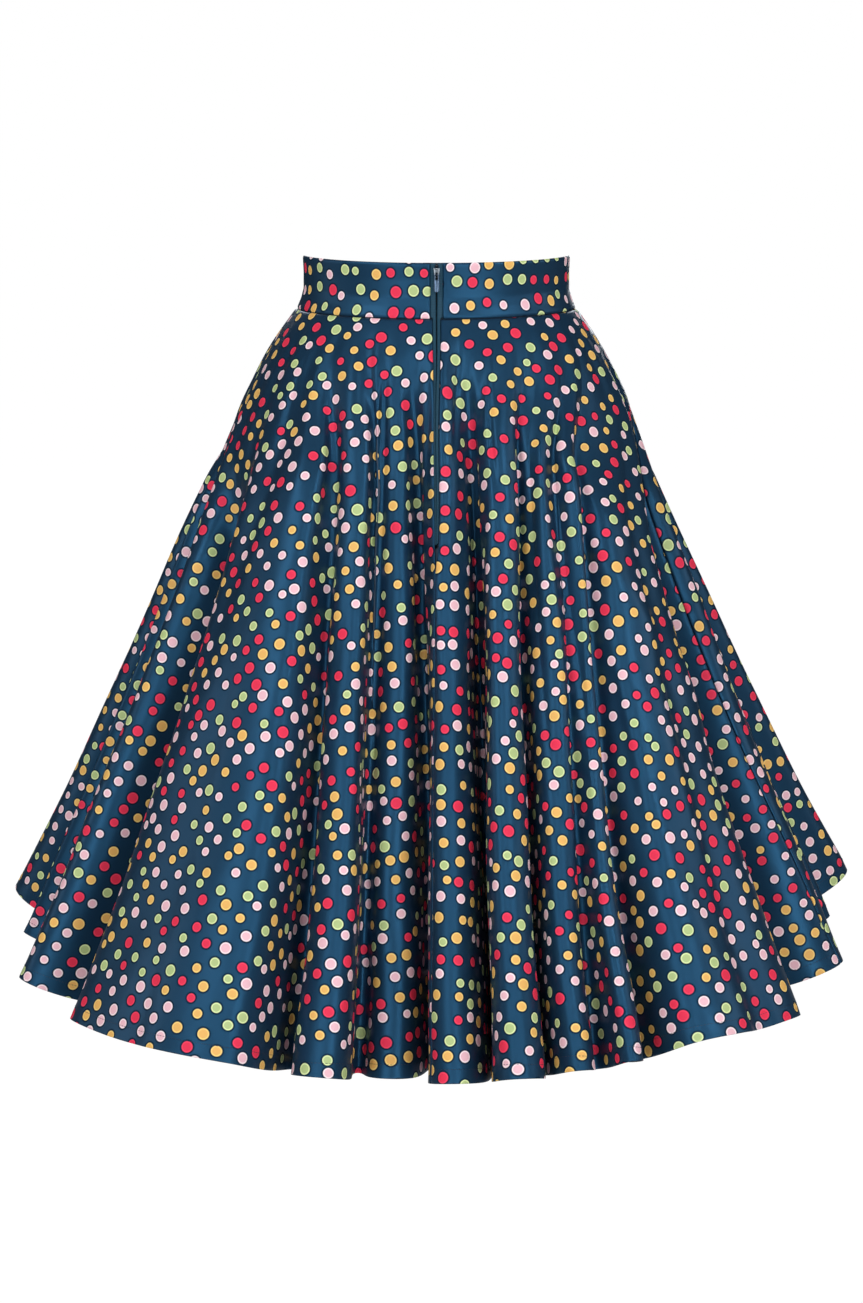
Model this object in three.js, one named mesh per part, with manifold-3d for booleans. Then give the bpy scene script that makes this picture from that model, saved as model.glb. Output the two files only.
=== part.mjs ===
// A high-waisted circle skirt in its worn form: a hollow bell of cloth, open at the waist and at the hem.
// +Z is up, -Y is the wearer's back with the zip, and the origin is the middle of the waist, where it is held.
// A place round the skirt is a share of the whole way round, from the centre back towards +X.

import * as THREE from 'three';
import { mergeVertices } from 'three/addons/utils/BufferGeometryUtils.js';
import Module from 'manifold-3d';

const wasm = await Module();
wasm.setup();

// Driving sizes in millimetres
const BAND_DEPTH = 48; // the waistband, from its rim to the seam
const RIM_HEIGHT = 15; // the rim stands this far above the origin at the back
const SLANT = 667; // the cloth from the waist seam to the hem, at the back
const SEAM = { halfWidth: 130.2, halfDepth: 100 }; // the oval of the waist seam
const BELL = { halfWidth: 402, halfDepth: 376 }; // the oval that the hem folds swing about
const BAND_WALL = 2; // two layers of cloth
const SKIRT_WALL = 1.4; // one layer of cloth
const HEM_WALL = 2.4; // the turned hem
const HEM_TURN = 13; // depth of the turned hem
const SEAM_GAP = 0.3; // between two pieces that are sewn together
const FRONT_DIP = 20; // the waist sits this much lower at the centre front
const DIP_ROUNDING = 0.25; // how softly the dip starts at the sides
const HIP_FULLNESS = 0.5; // how much the cloth stands out just below the seam
const FOLD_GROWTH = 0.22; // share of the slant over which a fold opens to its full depth
const STEEPEST = 0.3; // least share of a step that goes downwards
const FALL_STEPS = 40; // steps in which a thread of the cloth is followed down
const LEAN_ROUNDS = 8; // times that a leaning fold's place is worked out again

// Outline of the waistband: down from the rim, half width, half depth
const BAND_ROWS = [
  [0, 123.2, 93.6],
  [15, 122.6, 93.0],
  [30, 122.9, 93.3],
  [39, 125.4, 95.6],
  [BAND_DEPTH, 129.4, 99.3],
].map(([down, halfWidth, halfDepth]) => ({ down, halfWidth, halfDepth }));

// The folds at the hem, in order round the skirt from the centre back. A row is one ridge and the valley
// after it: ridge angle in degrees, ridge radius, half the ridge's width, valley angle, valley radius,
// half the valley's width, the share of the slant where the fold starts, and its lean: how far from its
// own threads, as a share of the way round, its line meets the waist seam.
const FOLDS = [
  [1.8, 394, 34, 11.2, 284, 8, -0.05, 0.002],
  [9.2, 428, 39, 14.2, 326, 8, -0.04, 0.02],
  [16.2, 424, 21, 20.4, 384, 8, 0, 0.03],
  [22.0, 440, 16, 26.2, 374, 8, 0, 0.036],
  [32.0, 448, 38, 39.5, 436, 16, 0.1, 0.034],
  [46.6, 438, 36, 58.0, 256, 8, 0.12, 0.03],
  [67.5, 414, 44, 81.0, 298, 12, 0.1, 0.014],
  [87.5, 394, 14, 91.5, 332, 10, 0.1, 0.006],
  [98.8, 429, 34, 109.0, 290, 12, 0.08, 0],
  [121.0, 410, 42, 134.5, 308, 14, 0.02, 0],
  [145.5, 394, 26, 154.5, 300, 12, 0.05, 0],
  [166.5, 388, 36, 179.0, 292, 12, 0, 0],
  [190.5, 384, 28, 200.5, 300, 12, 0.04, 0],
  [212.0, 400, 44, 226.5, 296, 12, 0.01, 0],
  [238.0, 410, 30, 249.5, 298, 12, 0.08, 0],
  [264.5, 432, 40, 274.0, 328, 10, 0.08, 0],
  [278.0, 410, 12, 283.0, 298, 10, 0.14, 0],
  [297.5, 434, 36, 303.6, 282, 8, 0.18, -0.012],
  [312.0, 434, 30, 323.5, 440, 14, 0.06, -0.022],
  [333.8, 446, 50, 338.6, 334, 10, 0.02, -0.028],
  [345.6, 404, 36, 346.8, 306, 8, -0.03, -0.026],
  [353.4, 336, 24, 0.0, 262, 8, -0.04, -0.01],
].map(([ridgeAngle, ridgeRadius, ridgeHalf, valleyAngle, valleyRadius, valleyHalf, start, lean]) => ({
  ridgeAngle, ridgeRadius, ridgeHalf, valleyAngle, valleyRadius, valleyHalf, start, lean,
}));

// Shares of the slant where the wall has its rings; the last two bound the turned hem
const ZIP_END = 0.31; // the tapes end here
const GAP_END = 0.36; // the gap has closed to a seam
const SKIRT_ROWS = [0, 0.04, 0.09, 0.15, 0.22, ZIP_END, GAP_END, 0.48, 0.64, 0.82, 1 - HEM_TURN / SLANT, 1];
const COLUMNS_PER_CONTROL = 3; // rings' points between two neighbouring control points of the hem
const BAND_COLUMNS = 26; // rings' points in a quarter of the waistband

// The zip: two tapes in a narrow gap at the centre back, from the rim down
const BAND_GAP = 5.8; // half the gap between the waistband's ends
const SKIRT_GAP = 3.7; // half the gap between the skirt's edges
const TAPE_SLIT = 0.9; // half the slit between the tapes in the waistband
const TAPE_RECESS = 0.5; // the tapes lie this far behind the cloth's outer face
const TAPE_WALL = 1;
const TAPE_TOP = 2; // the tapes start this far below the rim
const TAPE_NARROWING = 1.5; // they narrow over this much above the waist seam

// The slider and its pull tab
const SLIDER = { width: 5.4, height: 8.6, depth: 2.2, centre: 6, corner: 1.4 };
const BRIDGE = { width: 1.6, height: 4.8, centre: -1.6, clear: 2, bar: 0.9 }; // its centre is below the slider's
const TAB = { length: 15.4, topWidth: 4, bottomWidth: 5, thickness: 1, windowWidth: 2.4, windowLength: 3.6 };
const RUNNING_GAP = 0.3;

// Finishes
const NAVY = { color: 0x1c3346, roughness: 0.45, metalness: 0 };
const TEAL = { color: 0x285a6e, roughness: 0.7, metalness: 0 };
const GUNMETAL = { color: 0x3c444b, roughness: 0.3, metalness: 0.9 };

const TURN = Math.PI * 2;
const smooth = (x) => {
  const share = Math.min(Math.max(x, 0), 1);
  return share * share * (3 - 2 * share);
};
const wrap = (share) => share - Math.floor(share);

// Ovals and the way round them
const onOval = (oval, angle) =>
  new THREE.Vector2(oval.halfWidth * Math.sin(angle), -oval.halfDepth * Math.cos(angle));

function lengthTable(curve, from, to, steps) {
  const table = [{ at: from, length: 0 }];
  for (let k = 1; k <= steps; k += 1) {
    const at = from + ((to - from) * k) / steps;
    const last = table[k - 1];
    table.push({ at, length: last.length + curve(at).distanceTo(curve(last.at)) });
  }
  return table;
}

// Reads a table whose rows grow with key, between the two rows about a value
function lookUp(table, key, value, result) {
  let first = 0;
  let last = table.length - 1;
  while (last - first > 1) {
    const middle = Math.floor((first + last) / 2);
    if (table[middle][key] < value) first = middle;
    else last = middle;
  }
  const low = table[first];
  const high = table[last];
  return low[result] + ((high[result] - low[result]) * (value - low[key])) / (high[key] - low[key]);
}

const seamTable = lengthTable((angle) => onOval(SEAM, angle), 0, TURN, 720);
const seamRound = seamTable.at(-1).length;
const seamAngle = (share) => lookUp(seamTable, 'length', wrap(share) * seamRound, 'at');

// The waist is level at the back and sides and dips softly towards the centre front
function dip(angle) {
  const front = -Math.cos(angle);
  return (FRONT_DIP * (Math.sqrt(front * front + DIP_ROUNDING * DIP_ROUNDING) + front)) / 2;
}

// Each fold gives four control points of the hem: the two shoulders of its ridge and of its valley
function shoulders(angle, radius, half) {
  const turn = THREE.MathUtils.degToRad(angle);
  const middle = new THREE.Vector2(radius * Math.sin(turn), -radius * Math.cos(turn));
  const along = new THREE.Vector2(Math.cos(turn), Math.sin(turn));
  return [-half, half].map((offset) => middle.clone().addScaledVector(along, offset));
}

const controls = FOLDS.flatMap((fold) => [
  ...shoulders(fold.ridgeAngle, fold.ridgeRadius, fold.ridgeHalf),
  ...shoulders(fold.valleyAngle, fold.valleyRadius, fold.valleyHalf),
].map((point) => ({ point, start: fold.start, lean: fold.lean })));

// A closed, even cubic spline through the control points, seen from above
function blend(at) {
  const span = Math.floor(at);
  const x = at - span;
  const weights = [(1 - x) ** 3, 3 * x ** 3 - 6 * x ** 2 + 4, -3 * x ** 3 + 3 * x ** 2 + 3 * x + 1, x ** 3];
  return weights.map((weight, k) => ({
    weight: weight / 6,
    control: controls[(span + k - 1 + controls.length) % controls.length],
  }));
}

function hemCurve(at) {
  const sum = new THREE.Vector2();
  blend(at).forEach(({ weight, control }) => sum.addScaledVector(control.point, weight));
  return sum;
}

const blended = (at, key) => blend(at).reduce((sum, { weight, control }) => sum + weight * control[key], 0);

const hemTable = lengthTable(hemCurve, 0, controls.length, controls.length * 8);
const hemRound = hemTable.at(-1).length;
const hemAt = (share) => lookUp(hemTable, 'length', wrap(share) * hemRound, 'at');
const hemShare = (at) => lookUp(hemTable, 'at', at, 'length') / hemRound;

// The place from above of a thread that starts at an angle of the waist seam and follows one place of the hem
function form(angle, at, down) {
  const spread = down + HIP_FULLNESS * down * (1 - down) ** 4;
  const opening = smooth((down - blended(at, 'start')) / FOLD_GROWTH);
  const foot = onOval(BELL, angle).lerp(hemCurve(at), opening);
  return onOval(SEAM, angle).lerp(foot, spread);
}

// A fold leans across the threads, and reaches its own ones at the hem
function leaned(share, down) {
  let at = hemAt(share);
  for (let round = 0; round < LEAN_ROUNDS; round += 1) at = hemAt(share - blended(at, 'lean') * (1 - down));
  return at;
}

// One thread of the cloth from the waist seam to the hem. Every thread of the back has the same length,
// so one that swings far out ends higher, and one in a valley hangs lower.
const threads = new Map();

function thread(share) {
  const key = wrap(share);
  if (threads.has(key)) return threads.get(key);
  const angle = seamAngle(key);
  const straight = hemAt(key);
  const step = (SLANT - dip(angle)) / FALL_STEPS;
  const points = [];
  let height = RIM_HEIGHT - BAND_DEPTH - SEAM_GAP - dip(angle);
  let last = form(angle, straight, 0);
  for (let k = 0; k <= FALL_STEPS; k += 1) {
    const down = k / FALL_STEPS;
    const plumb = form(angle, straight, down);
    if (k > 0) height -= Math.sqrt(Math.max(step ** 2 - plumb.distanceToSquared(last), (STEEPEST * step) ** 2));
    const place = form(angle, leaned(key, down), down);
    points.push(new THREE.Vector3(place.x, place.y, height));
    last = plumb;
  }
  threads.set(key, points);
  return points;
}

function skirtPoint(share, down) {
  const points = thread(share);
  const at = Math.min(Math.max(down, 0), 1) * FALL_STEPS;
  const k = Math.min(Math.floor(at), FALL_STEPS - 1);
  return points[k].clone().lerp(points[k + 1], at - k);
}

function bandPoint(share, down) {
  const depth = Math.min(Math.max(down, 0), 1) * BAND_DEPTH;
  const next = Math.max(1, BAND_ROWS.findIndex((row) => row.down >= depth));
  const low = BAND_ROWS[next - 1];
  const high = BAND_ROWS[next];
  const part = (depth - low.down) / (high.down - low.down);
  const oval = {
    halfWidth: THREE.MathUtils.lerp(low.halfWidth, high.halfWidth, part),
    halfDepth: THREE.MathUtils.lerp(low.halfDepth, high.halfDepth, part),
  };
  const angle = seamAngle(share);
  const place = onOval(oval, angle);
  return new THREE.Vector3(place.x, place.y, RIM_HEIGHT - depth - dip(angle));
}

// The outward direction of a surface that is given round and down
function outward(surface, share, down) {
  const round = 0.0004;
  const drop = 0.01;
  const across = surface(share + round, down).sub(surface(share - round, down));
  const downwards = surface(share, Math.min(down + drop, 1)).sub(surface(share, Math.max(down - drop, 0)));
  return downwards.cross(across).normalize();
}

function levelOutward(surface, share, down) {
  return outward(surface, share, down).setZ(0).normalize();
}

// A closed wall between an outer and an inner grid of points; grids run round the skirt and then down
function wall(outer, inner) {
  const columns = outer.length;
  const rows = outer[0].length;
  const positions = [...outer.flat(), ...inner.flat()].flatMap((point) => point.toArray());
  const out = (i, j) => i * rows + j;
  const into = (i, j) => columns * rows + i * rows + j;
  const faces = [];
  const quad = (a, b, c, d) => faces.push(a, b, c, a, c, d);
  for (let i = 0; i + 1 < columns; i += 1) {
    for (let j = 0; j + 1 < rows; j += 1) {
      quad(out(i, j), out(i, j + 1), out(i + 1, j + 1), out(i + 1, j));
      quad(into(i, j), into(i + 1, j), into(i + 1, j + 1), into(i, j + 1));
    }
    quad(out(i, 0), out(i + 1, 0), into(i + 1, 0), into(i, 0));
    quad(out(i, rows - 1), into(i, rows - 1), into(i + 1, rows - 1), out(i + 1, rows - 1));
  }
  for (let j = 0; j + 1 < rows; j += 1) {
    quad(out(0, j), into(0, j), into(0, j + 1), out(0, j + 1));
    quad(out(columns - 1, j), out(columns - 1, j + 1), into(columns - 1, j + 1), into(columns - 1, j));
  }
  const geometry = new THREE.BufferGeometry();
  geometry.setAttribute('position', new THREE.Float32BufferAttribute(positions, 3));
  geometry.setIndex(faces);
  geometry.computeVertexNormals();
  return geometry;
}

const part = new THREE.Group();

function piece(name, geometry, finish) {
  const mesh = new THREE.Mesh(geometry, new THREE.MeshStandardMaterial(finish));
  mesh.name = name;
  part.add(mesh);
  return mesh;
}

// Panels: each runs between two shares of the way round and stays clear of its seams
const PANELS = [
  { name: 'back_right', from: 0, to: 0.25 },
  { name: 'front', from: 0.25, to: 0.75 },
  { name: 'back_left', from: 0.75, to: 1 },
];

// Half the gap at a panel's edge: the zip's gap at the centre back, closing to a plain seam
function edgeGap(share, down, zipGap) {
  const plainSeam = SEAM_GAP / 2;
  const atZip = wrap(share) === 0;
  return atZip ? THREE.MathUtils.lerp(zipGap, plainSeam, smooth((down - ZIP_END) / (GAP_END - ZIP_END))) : plainSeam;
}

// Millimetres for each whole share, measured on the cloth about one place
function scaleAt(surface, share, down) {
  const step = 0.001;
  return surface(share + step, down).distanceTo(surface(share - step, down)) / (2 * step);
}

// The shares round of one ring's points, squeezed a little so that the ends leave the gaps
function ring(surface, down, shares, from, to, zipGap) {
  const low = from + edgeGap(from, down, zipGap) / scaleAt(surface, from, down);
  const high = to - edgeGap(to, down, zipGap) / scaleAt(surface, to, down);
  return shares.map((share) => low + ((high - low) * (share - from)) / (to - from));
}

function skirtPanel({ from, to }) {
  const first = hemAt(from);
  const last = to === 1 ? controls.length : hemAt(to);
  const shares = [from];
  for (let k = Math.floor(first * COLUMNS_PER_CONTROL) + 1; k < last * COLUMNS_PER_CONTROL; k += 1) {
    shares.push(hemShare(k / COLUMNS_PER_CONTROL));
  }
  shares.push(to);
  const rings = SKIRT_ROWS.map((down) => ring(skirtPoint, down, shares, from, to, SKIRT_GAP));
  const outer = shares.map((_, i) => SKIRT_ROWS.map((down, j) => skirtPoint(rings[j][i], down)));
  const inner = shares.map((_, i) => SKIRT_ROWS.map((down, j) => {
    const thickness = j >= SKIRT_ROWS.length - 2 ? HEM_WALL : SKIRT_WALL;
    const inwards = outward(skirtPoint, rings[j][i], down).multiplyScalar(-thickness);
    return outer[i][j].clone().add(inwards);
  }));
  return wall(outer, inner);
}

function bandPanel({ from, to }) {
  const count = Math.round((to - from) * 4 * BAND_COLUMNS);
  const shares = Array.from({ length: count + 1 }, (_, k) => from + ((to - from) * k) / count);
  const rows = BAND_ROWS.map((row) => row.down / BAND_DEPTH);
  const places = ring(bandPoint, 0, shares, from, to, BAND_GAP);
  const outer = places.map((share) => rows.map((down) => bandPoint(share, down)));
  const inner = places.map((share, i) => rows.map((down, j) =>
    outer[i][j].clone().addScaledVector(levelOutward(bandPoint, share, down), -BAND_WALL)));
  return wall(outer, inner);
}

for (const panel of PANELS) {
  piece(`waistband_${panel.name}`, bandPanel(panel), NAVY);
  piece(`skirt_${panel.name}`, skirtPanel(panel), NAVY);
}

// The zip's tapes run down inside the gap, wide in the waistband and narrow in the skirt
function tapePath() {
  const wide = { slit: TAPE_SLIT, edge: BAND_GAP - RUNNING_GAP };
  const narrow = { slit: SEAM_GAP / 2, edge: SKIRT_GAP - RUNNING_GAP };
  const bandDowns = [TAPE_TOP, ...BAND_ROWS.slice(1, -1).map((row) => row.down), BAND_DEPTH - TAPE_NARROWING];
  const skirtDowns = SKIRT_ROWS.filter((down) => down > 0 && down <= ZIP_END);
  return [
    ...bandDowns.map((down) => ({ surface: bandPoint, down: down / BAND_DEPTH, ...wide })),
    { surface: bandPoint, down: 1, ...narrow },
    ...skirtDowns.map((down) => ({ surface: skirtPoint, down, ...narrow })),
  ];
}

function tape(side) {
  const path = tapePath();
  const edges = side > 0 ? ['slit', 'edge'] : ['edge', 'slit'];
  const column = (edge, depth) => path.map((row) => {
    const share = (side * row[edge]) / scaleAt(row.surface, 0, row.down);
    const facing = outward(row.surface, share, row.down);
    return row.surface(share, row.down).addScaledVector(facing, -depth);
  });
  const grid = (depth) => edges.map((edge) => column(edge, depth));
  return wall(grid(TAPE_RECESS), grid(TAPE_RECESS + TAPE_WALL));
}

piece('zip_tape_right', tape(1), TEAL);
piece('zip_tape_left', tape(-1), TEAL);

// Small metal pieces are drawn facing the viewer and stand out from the waistband towards -Y
function solid(geometry) {
  geometry.deleteAttribute('normal');
  geometry.deleteAttribute('uv');
  const merged = mergeVertices(geometry);
  return new wasm.Manifold(new wasm.Mesh({
    numProp: 3,
    vertProperties: new Float32Array(merged.attributes.position.array),
    triVerts: new Uint32Array(merged.index.array),
  }));
}

function fromSolid(body) {
  const mesh = body.getMesh();
  const geometry = new THREE.BufferGeometry();
  geometry.setAttribute('position', new THREE.Float32BufferAttribute(mesh.vertProperties, 3));
  geometry.setIndex(Array.from(mesh.triVerts));
  geometry.computeVertexNormals();
  return geometry;
}

function roundedRectangle(width, height, corner) {
  const x = width / 2;
  const y = height / 2;
  const shape = new THREE.Shape();
  shape.moveTo(-x + corner, -y);
  shape.lineTo(x - corner, -y);
  shape.absarc(x - corner, -y + corner, corner, -Math.PI / 2, 0, false);
  shape.absarc(x - corner, y - corner, corner, 0, Math.PI / 2, false);
  shape.absarc(-x + corner, y - corner, corner, Math.PI / 2, Math.PI, false);
  shape.absarc(-x + corner, -y + corner, corner, Math.PI, Math.PI * 1.5, false);
  return shape;
}

const plate = (shape, depth) =>
  new THREE.ExtrudeGeometry(shape, { depth, bevelEnabled: false, curveSegments: 5 });

const zipFront = BAND_ROWS[0].halfDepth - TAPE_RECESS + RUNNING_GAP;
const pivotDepth = SLIDER.depth + BRIDGE.clear / 2;

function slider() {
  const body = solid(plate(roundedRectangle(SLIDER.width, SLIDER.height, SLIDER.corner), SLIDER.depth));
  const high = BRIDGE.clear + BRIDGE.bar;
  const legs = [-1, 1].map((end) => {
    const leg = new THREE.BoxGeometry(BRIDGE.width, BRIDGE.bar, high + BRIDGE.bar);
    const across = BRIDGE.centre + (end * (BRIDGE.height - BRIDGE.bar)) / 2;
    leg.translate(0, across, SLIDER.depth + (high - BRIDGE.bar) / 2);
    return solid(leg);
  });
  const top = new THREE.BoxGeometry(BRIDGE.width, BRIDGE.height, BRIDGE.bar);
  top.translate(0, BRIDGE.centre, SLIDER.depth + BRIDGE.clear + BRIDGE.bar / 2);
  return fromSolid(legs.reduce((sum, leg) => sum.add(leg), body.add(solid(top))));
}

function pullTab() {
  const half = TAB.topWidth / 2;
  const wide = TAB.bottomWidth / 2;
  const top = TAB.thickness / 2;
  const shape = new THREE.Shape();
  shape.moveTo(-half, top);
  shape.lineTo(-wide, top - TAB.length + wide);
  shape.absarc(0, top - TAB.length + wide, wide, Math.PI, TURN, false);
  shape.lineTo(half, top);
  shape.closePath();
  const windowHole = new THREE.Path();
  const side = TAB.windowWidth / 2;
  windowHole.moveTo(-side, -top);
  windowHole.lineTo(side, -top);
  windowHole.lineTo(side, -top - TAB.windowLength);
  windowHole.lineTo(-side, -top - TAB.windowLength);
  windowHole.closePath();
  shape.holes.push(windowHole);
  return plate(shape, TAB.thickness).translate(0, 0, -TAB.thickness / 2);
}

const sliderMesh = piece('zip_slider', slider(), GUNMETAL);
sliderMesh.rotation.x = Math.PI / 2;
sliderMesh.position.set(0, -zipFront, SLIDER.centre);

const tabMesh = piece('zip_pull', pullTab(), GUNMETAL);
tabMesh.rotation.x = Math.PI / 2;
tabMesh.position.set(0, -zipFront - pivotDepth, SLIDER.centre + BRIDGE.centre);

export default part;
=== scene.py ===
# %% [markdown]
# A high-waisted circle skirt in printed sateen, seen from behind, in the hollow form that it has when worn.
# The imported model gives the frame: every piece below lies on one of its solids, in metres, with +Z up and
# the zip at -Y. The solids carry the size and the folds. What they lack is the fine cloth: thin panels with
# soft creases, the print, the seams and their stitches, the zip's rolled tapes and a rounded slider.

# %% Load the frame
import math

import bpy
import numpy as np
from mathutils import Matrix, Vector


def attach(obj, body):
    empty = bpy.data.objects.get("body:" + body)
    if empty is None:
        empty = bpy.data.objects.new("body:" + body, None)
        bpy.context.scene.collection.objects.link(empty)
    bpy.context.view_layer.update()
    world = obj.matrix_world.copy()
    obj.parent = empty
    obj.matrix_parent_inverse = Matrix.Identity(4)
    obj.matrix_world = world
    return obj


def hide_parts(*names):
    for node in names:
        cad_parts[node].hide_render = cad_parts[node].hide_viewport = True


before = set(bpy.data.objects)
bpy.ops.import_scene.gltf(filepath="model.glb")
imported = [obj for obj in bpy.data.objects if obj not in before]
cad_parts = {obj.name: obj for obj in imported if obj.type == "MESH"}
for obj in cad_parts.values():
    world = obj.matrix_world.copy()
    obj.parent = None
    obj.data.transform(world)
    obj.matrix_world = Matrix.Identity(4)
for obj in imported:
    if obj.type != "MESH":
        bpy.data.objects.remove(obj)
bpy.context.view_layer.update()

# %% [markdown]
# The photograph was taken from about two metres behind the skirt and a little above its waist. The hem's
# outline fixes the pitch, because the ring of the hem opens just as far as a camera looking down by this
# angle shows it. The lens follows from the picture's height and the focal length, both in pixels.

# %% Camera
PHOTO_HEIGHT_PX = 1303
FOCAL_PX = 2261
SENSOR = 36.0
CAMERA_PLACE = (-0.0045, -2.108, 0.213)
CAMERA_PITCH = math.radians(15.37)

bpy.ops.object.camera_add(location=CAMERA_PLACE, rotation=(math.pi / 2 - CAMERA_PITCH, 0, 0))
camera = bpy.context.object
camera.data.sensor_width = SENSOR
camera.data.lens = SENSOR * FOCAL_PX / PHOTO_HEIGHT_PX
bpy.context.scene.camera = camera
print(f"camera: {camera.data.lens:.1f} mm lens, {abs(CAMERA_PLACE[1]):.2f} m behind the waist")

# %% [markdown]
# A garment photographed on white needs light that is soft but comes mostly from the camera's side: then the
# rolls of the cloth catch it and the deep folds between them stay nearly black. Two large lamps stand low
# at the front, and three higher ones draw the sheen down the faces. Two graze the sides, a weak one opens
# the top, and two light the far side. The floor lies where a wearer's feet would be.

# %% Light and floor
WAIST_ABOVE_FLOOR = 1.06
FLOOR_SIZE = 400.0
AIM = Vector((0, 0, -0.35))
LAMP_AWAY = 4.0
LIGHTS = [
    # name, degrees from the camera's side towards +X, degrees up, size, watts
    ("front_right", 24, 6, 1.6, 50),
    ("front_left", -22, 8, 1.6, 38),
    ("high_left", -47, 37, 1.8, 46),
    ("high_middle", 2, 34, 1.0, 20),
    ("high_right", 46, 37, 1.2, 36),
    ("side_right", 84, 20, 1.6, 18),
    ("side_left", -86, 12, 1.4, 12),
    ("top", 0, 78, 2.0, 8),
    ("far_right", 170, 14, 2.0, 70),
    ("far_left", -166, 30, 2.0, 40),
]


def lamp_place(around, up):
    """Where a lamp stands, from its angles about the aim."""
    around, up = math.radians(around), math.radians(up)
    level = LAMP_AWAY * math.cos(up)
    return AIM + Vector((level * math.sin(around), -level * math.cos(around), LAMP_AWAY * math.sin(up)))


for name, around, up, size, watts in LIGHTS:
    place = lamp_place(around, up)
    turn = (AIM - place).to_track_quat("-Z", "Y").to_euler()
    bpy.ops.object.light_add(type="AREA", location=place, rotation=turn)
    lamp = bpy.context.object
    lamp.name = f"light_{name}"
    lamp.data.size = size
    lamp.data.energy = watts

bpy.ops.mesh.primitive_plane_add(size=FLOOR_SIZE, location=(0, 0, -WAIST_ABOVE_FLOOR))
floor = bpy.context.object
floor.name = "floor"
print(f"{len(LIGHTS)} lights, and a floor {WAIST_ABOVE_FLOOR} m below the waist")

# %% [markdown]
# Shader maths reads best as a formula. This class wraps a node's output, so that a sum of two of them, or
# of one and then a number, adds the Math node that works it out.


# %% Sums on sockets
class Value:
    """A node's output that takes part in sums."""

    def __init__(self, finish, socket):
        self.finish = finish
        self.socket = socket

    def _sum(self, operation, first, second=None):
        inputs = {0: first} if second is None else {0: first, 1: second}
        return self.finish.node("ShaderNodeMath", {"operation": operation}, inputs)

    def __add__(self, other):
        return self._sum("ADD", self, other)

    def __sub__(self, other):
        return self._sum("SUBTRACT", self, other)

    def __mul__(self, other):
        return self._sum("MULTIPLY", self, other)

    def least(self, other):
        return self._sum("MINIMUM", self, other)

    def sine(self):
        return self._sum("SINE", self)

    def step(self, low, high):
        """0 below low, 1 above high, straight between."""
        inputs = {"Value": self, "From Min": low, "From Max": high}
        return self.finish.node("ShaderNodeMapRange", {"clamp": True}, inputs)


# %% [markdown]
# Every other node comes from one method: it makes the node, applies its settings, and then fills or links
# its sockets. A finish is one material, and ends in a Principled shader. The studio's surroundings are
# made of nodes too, so a finish may also be given the world that it belongs to.


# %% Finishes
class Finish:
    """One material, or the world, built node by node."""

    def __init__(self, name, world=None):
        self.material = world or bpy.data.materials.new(name)
        self.material.use_nodes = True
        self.tree = self.material.node_tree
        self.tree.nodes.clear()

    def node(self, kind, settings=None, inputs=None, output=0):
        node = self.tree.nodes.new(kind)
        for key, value in (settings or {}).items():
            if key == "stops":
                self.set_stops(node.color_ramp, value)
            else:
                setattr(node, key, value)
        for key, value in (inputs or {}).items():
            if isinstance(value, Value):
                self.tree.links.new(value.socket, node.inputs[key])
            else:
                node.inputs[key].default_value = value
        return Value(self, node.outputs[output]) if len(node.outputs) else node

    @staticmethod
    def set_stops(ramp, stops):
        """Stops are (position, colour) and hold their colour up to the next."""
        ramp.interpolation = "CONSTANT"
        while len(ramp.elements) < len(stops):
            ramp.elements.new(1.0)
        for element, (position, colour) in zip(ramp.elements, stops):
            element.position = position
            element.color = colour

    def mix(self, share, first, second):
        """A colour that goes from first to second as share goes from 0 to 1."""
        return self.node("ShaderNodeMix", {"data_type": "RGBA"}, {0: share, 6: first, 7: second}, output=2)

    def flat_place(self):
        """The place on the flat cloth, in metres."""
        return self.node("ShaderNodeUVMap", {"uv_map": "cut"})

    def axis(self, place, name):
        """One coordinate of a place."""
        return self.node("ShaderNodeSeparateXYZ", None, {"Vector": place}, output=name)

    def bump(self, height, strength, distance):
        inputs = {"Height": height, "Strength": strength, "Distance": distance}
        return self.node("ShaderNodeBump", None, inputs)

    def shade(self, **inputs):
        """The Principled shader that ends the finish."""
        names = {key.replace("_", " "): value for key, value in inputs.items()}
        shader = self.node("ShaderNodeBsdfPrincipled", None, names)
        self.node("ShaderNodeOutputMaterial", None, {"Surface": shader})
        return self.material


def srgb(red, green, blue):
    """A colour that is given as 0 to 255 on a screen, as the shader wants it."""
    def linear(level):
        share = level / 255
        return share / 12.92 if share <= 0.04045 else ((share + 0.055) / 1.055) ** 2.4
    return (linear(red), linear(green), linear(blue), 1.0)


# %% [markdown]
# The studio is white all round, but surroundings as bright as they look would light the folds from every
# side and flatten them. The Light Path node keeps that off: rays straight from the camera meet white paper
# that is lit by itself and shows a hint of shadow, while the cloth gets only a weak light from it.

# %% Floor finish and world
PAPER = srgb(150, 150, 150)
PAPER_SEEN = 1.0
PAPER_GLOW_SHARE = 0.94
SKY_LIGHT = 0.03

paper = Finish("studio_paper")
seen = paper.node("ShaderNodeLightPath", output="Is Camera Ray")
matt = {"Base Color": PAPER, "Roughness": 0.9, "Specular IOR Level": 0.0}
sheet = paper.node("ShaderNodeBsdfPrincipled", None, matt)
glow = paper.node("ShaderNodeEmission", None, {"Strength": PAPER_SEEN / PAPER_GLOW_SHARE})
both = paper.node("ShaderNodeMixShader", None, {0: seen * PAPER_GLOW_SHARE, 1: sheet, 2: glow})
paper.node("ShaderNodeOutputMaterial", None, {"Surface": both})
floor.data.materials.append(paper.material)

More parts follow.
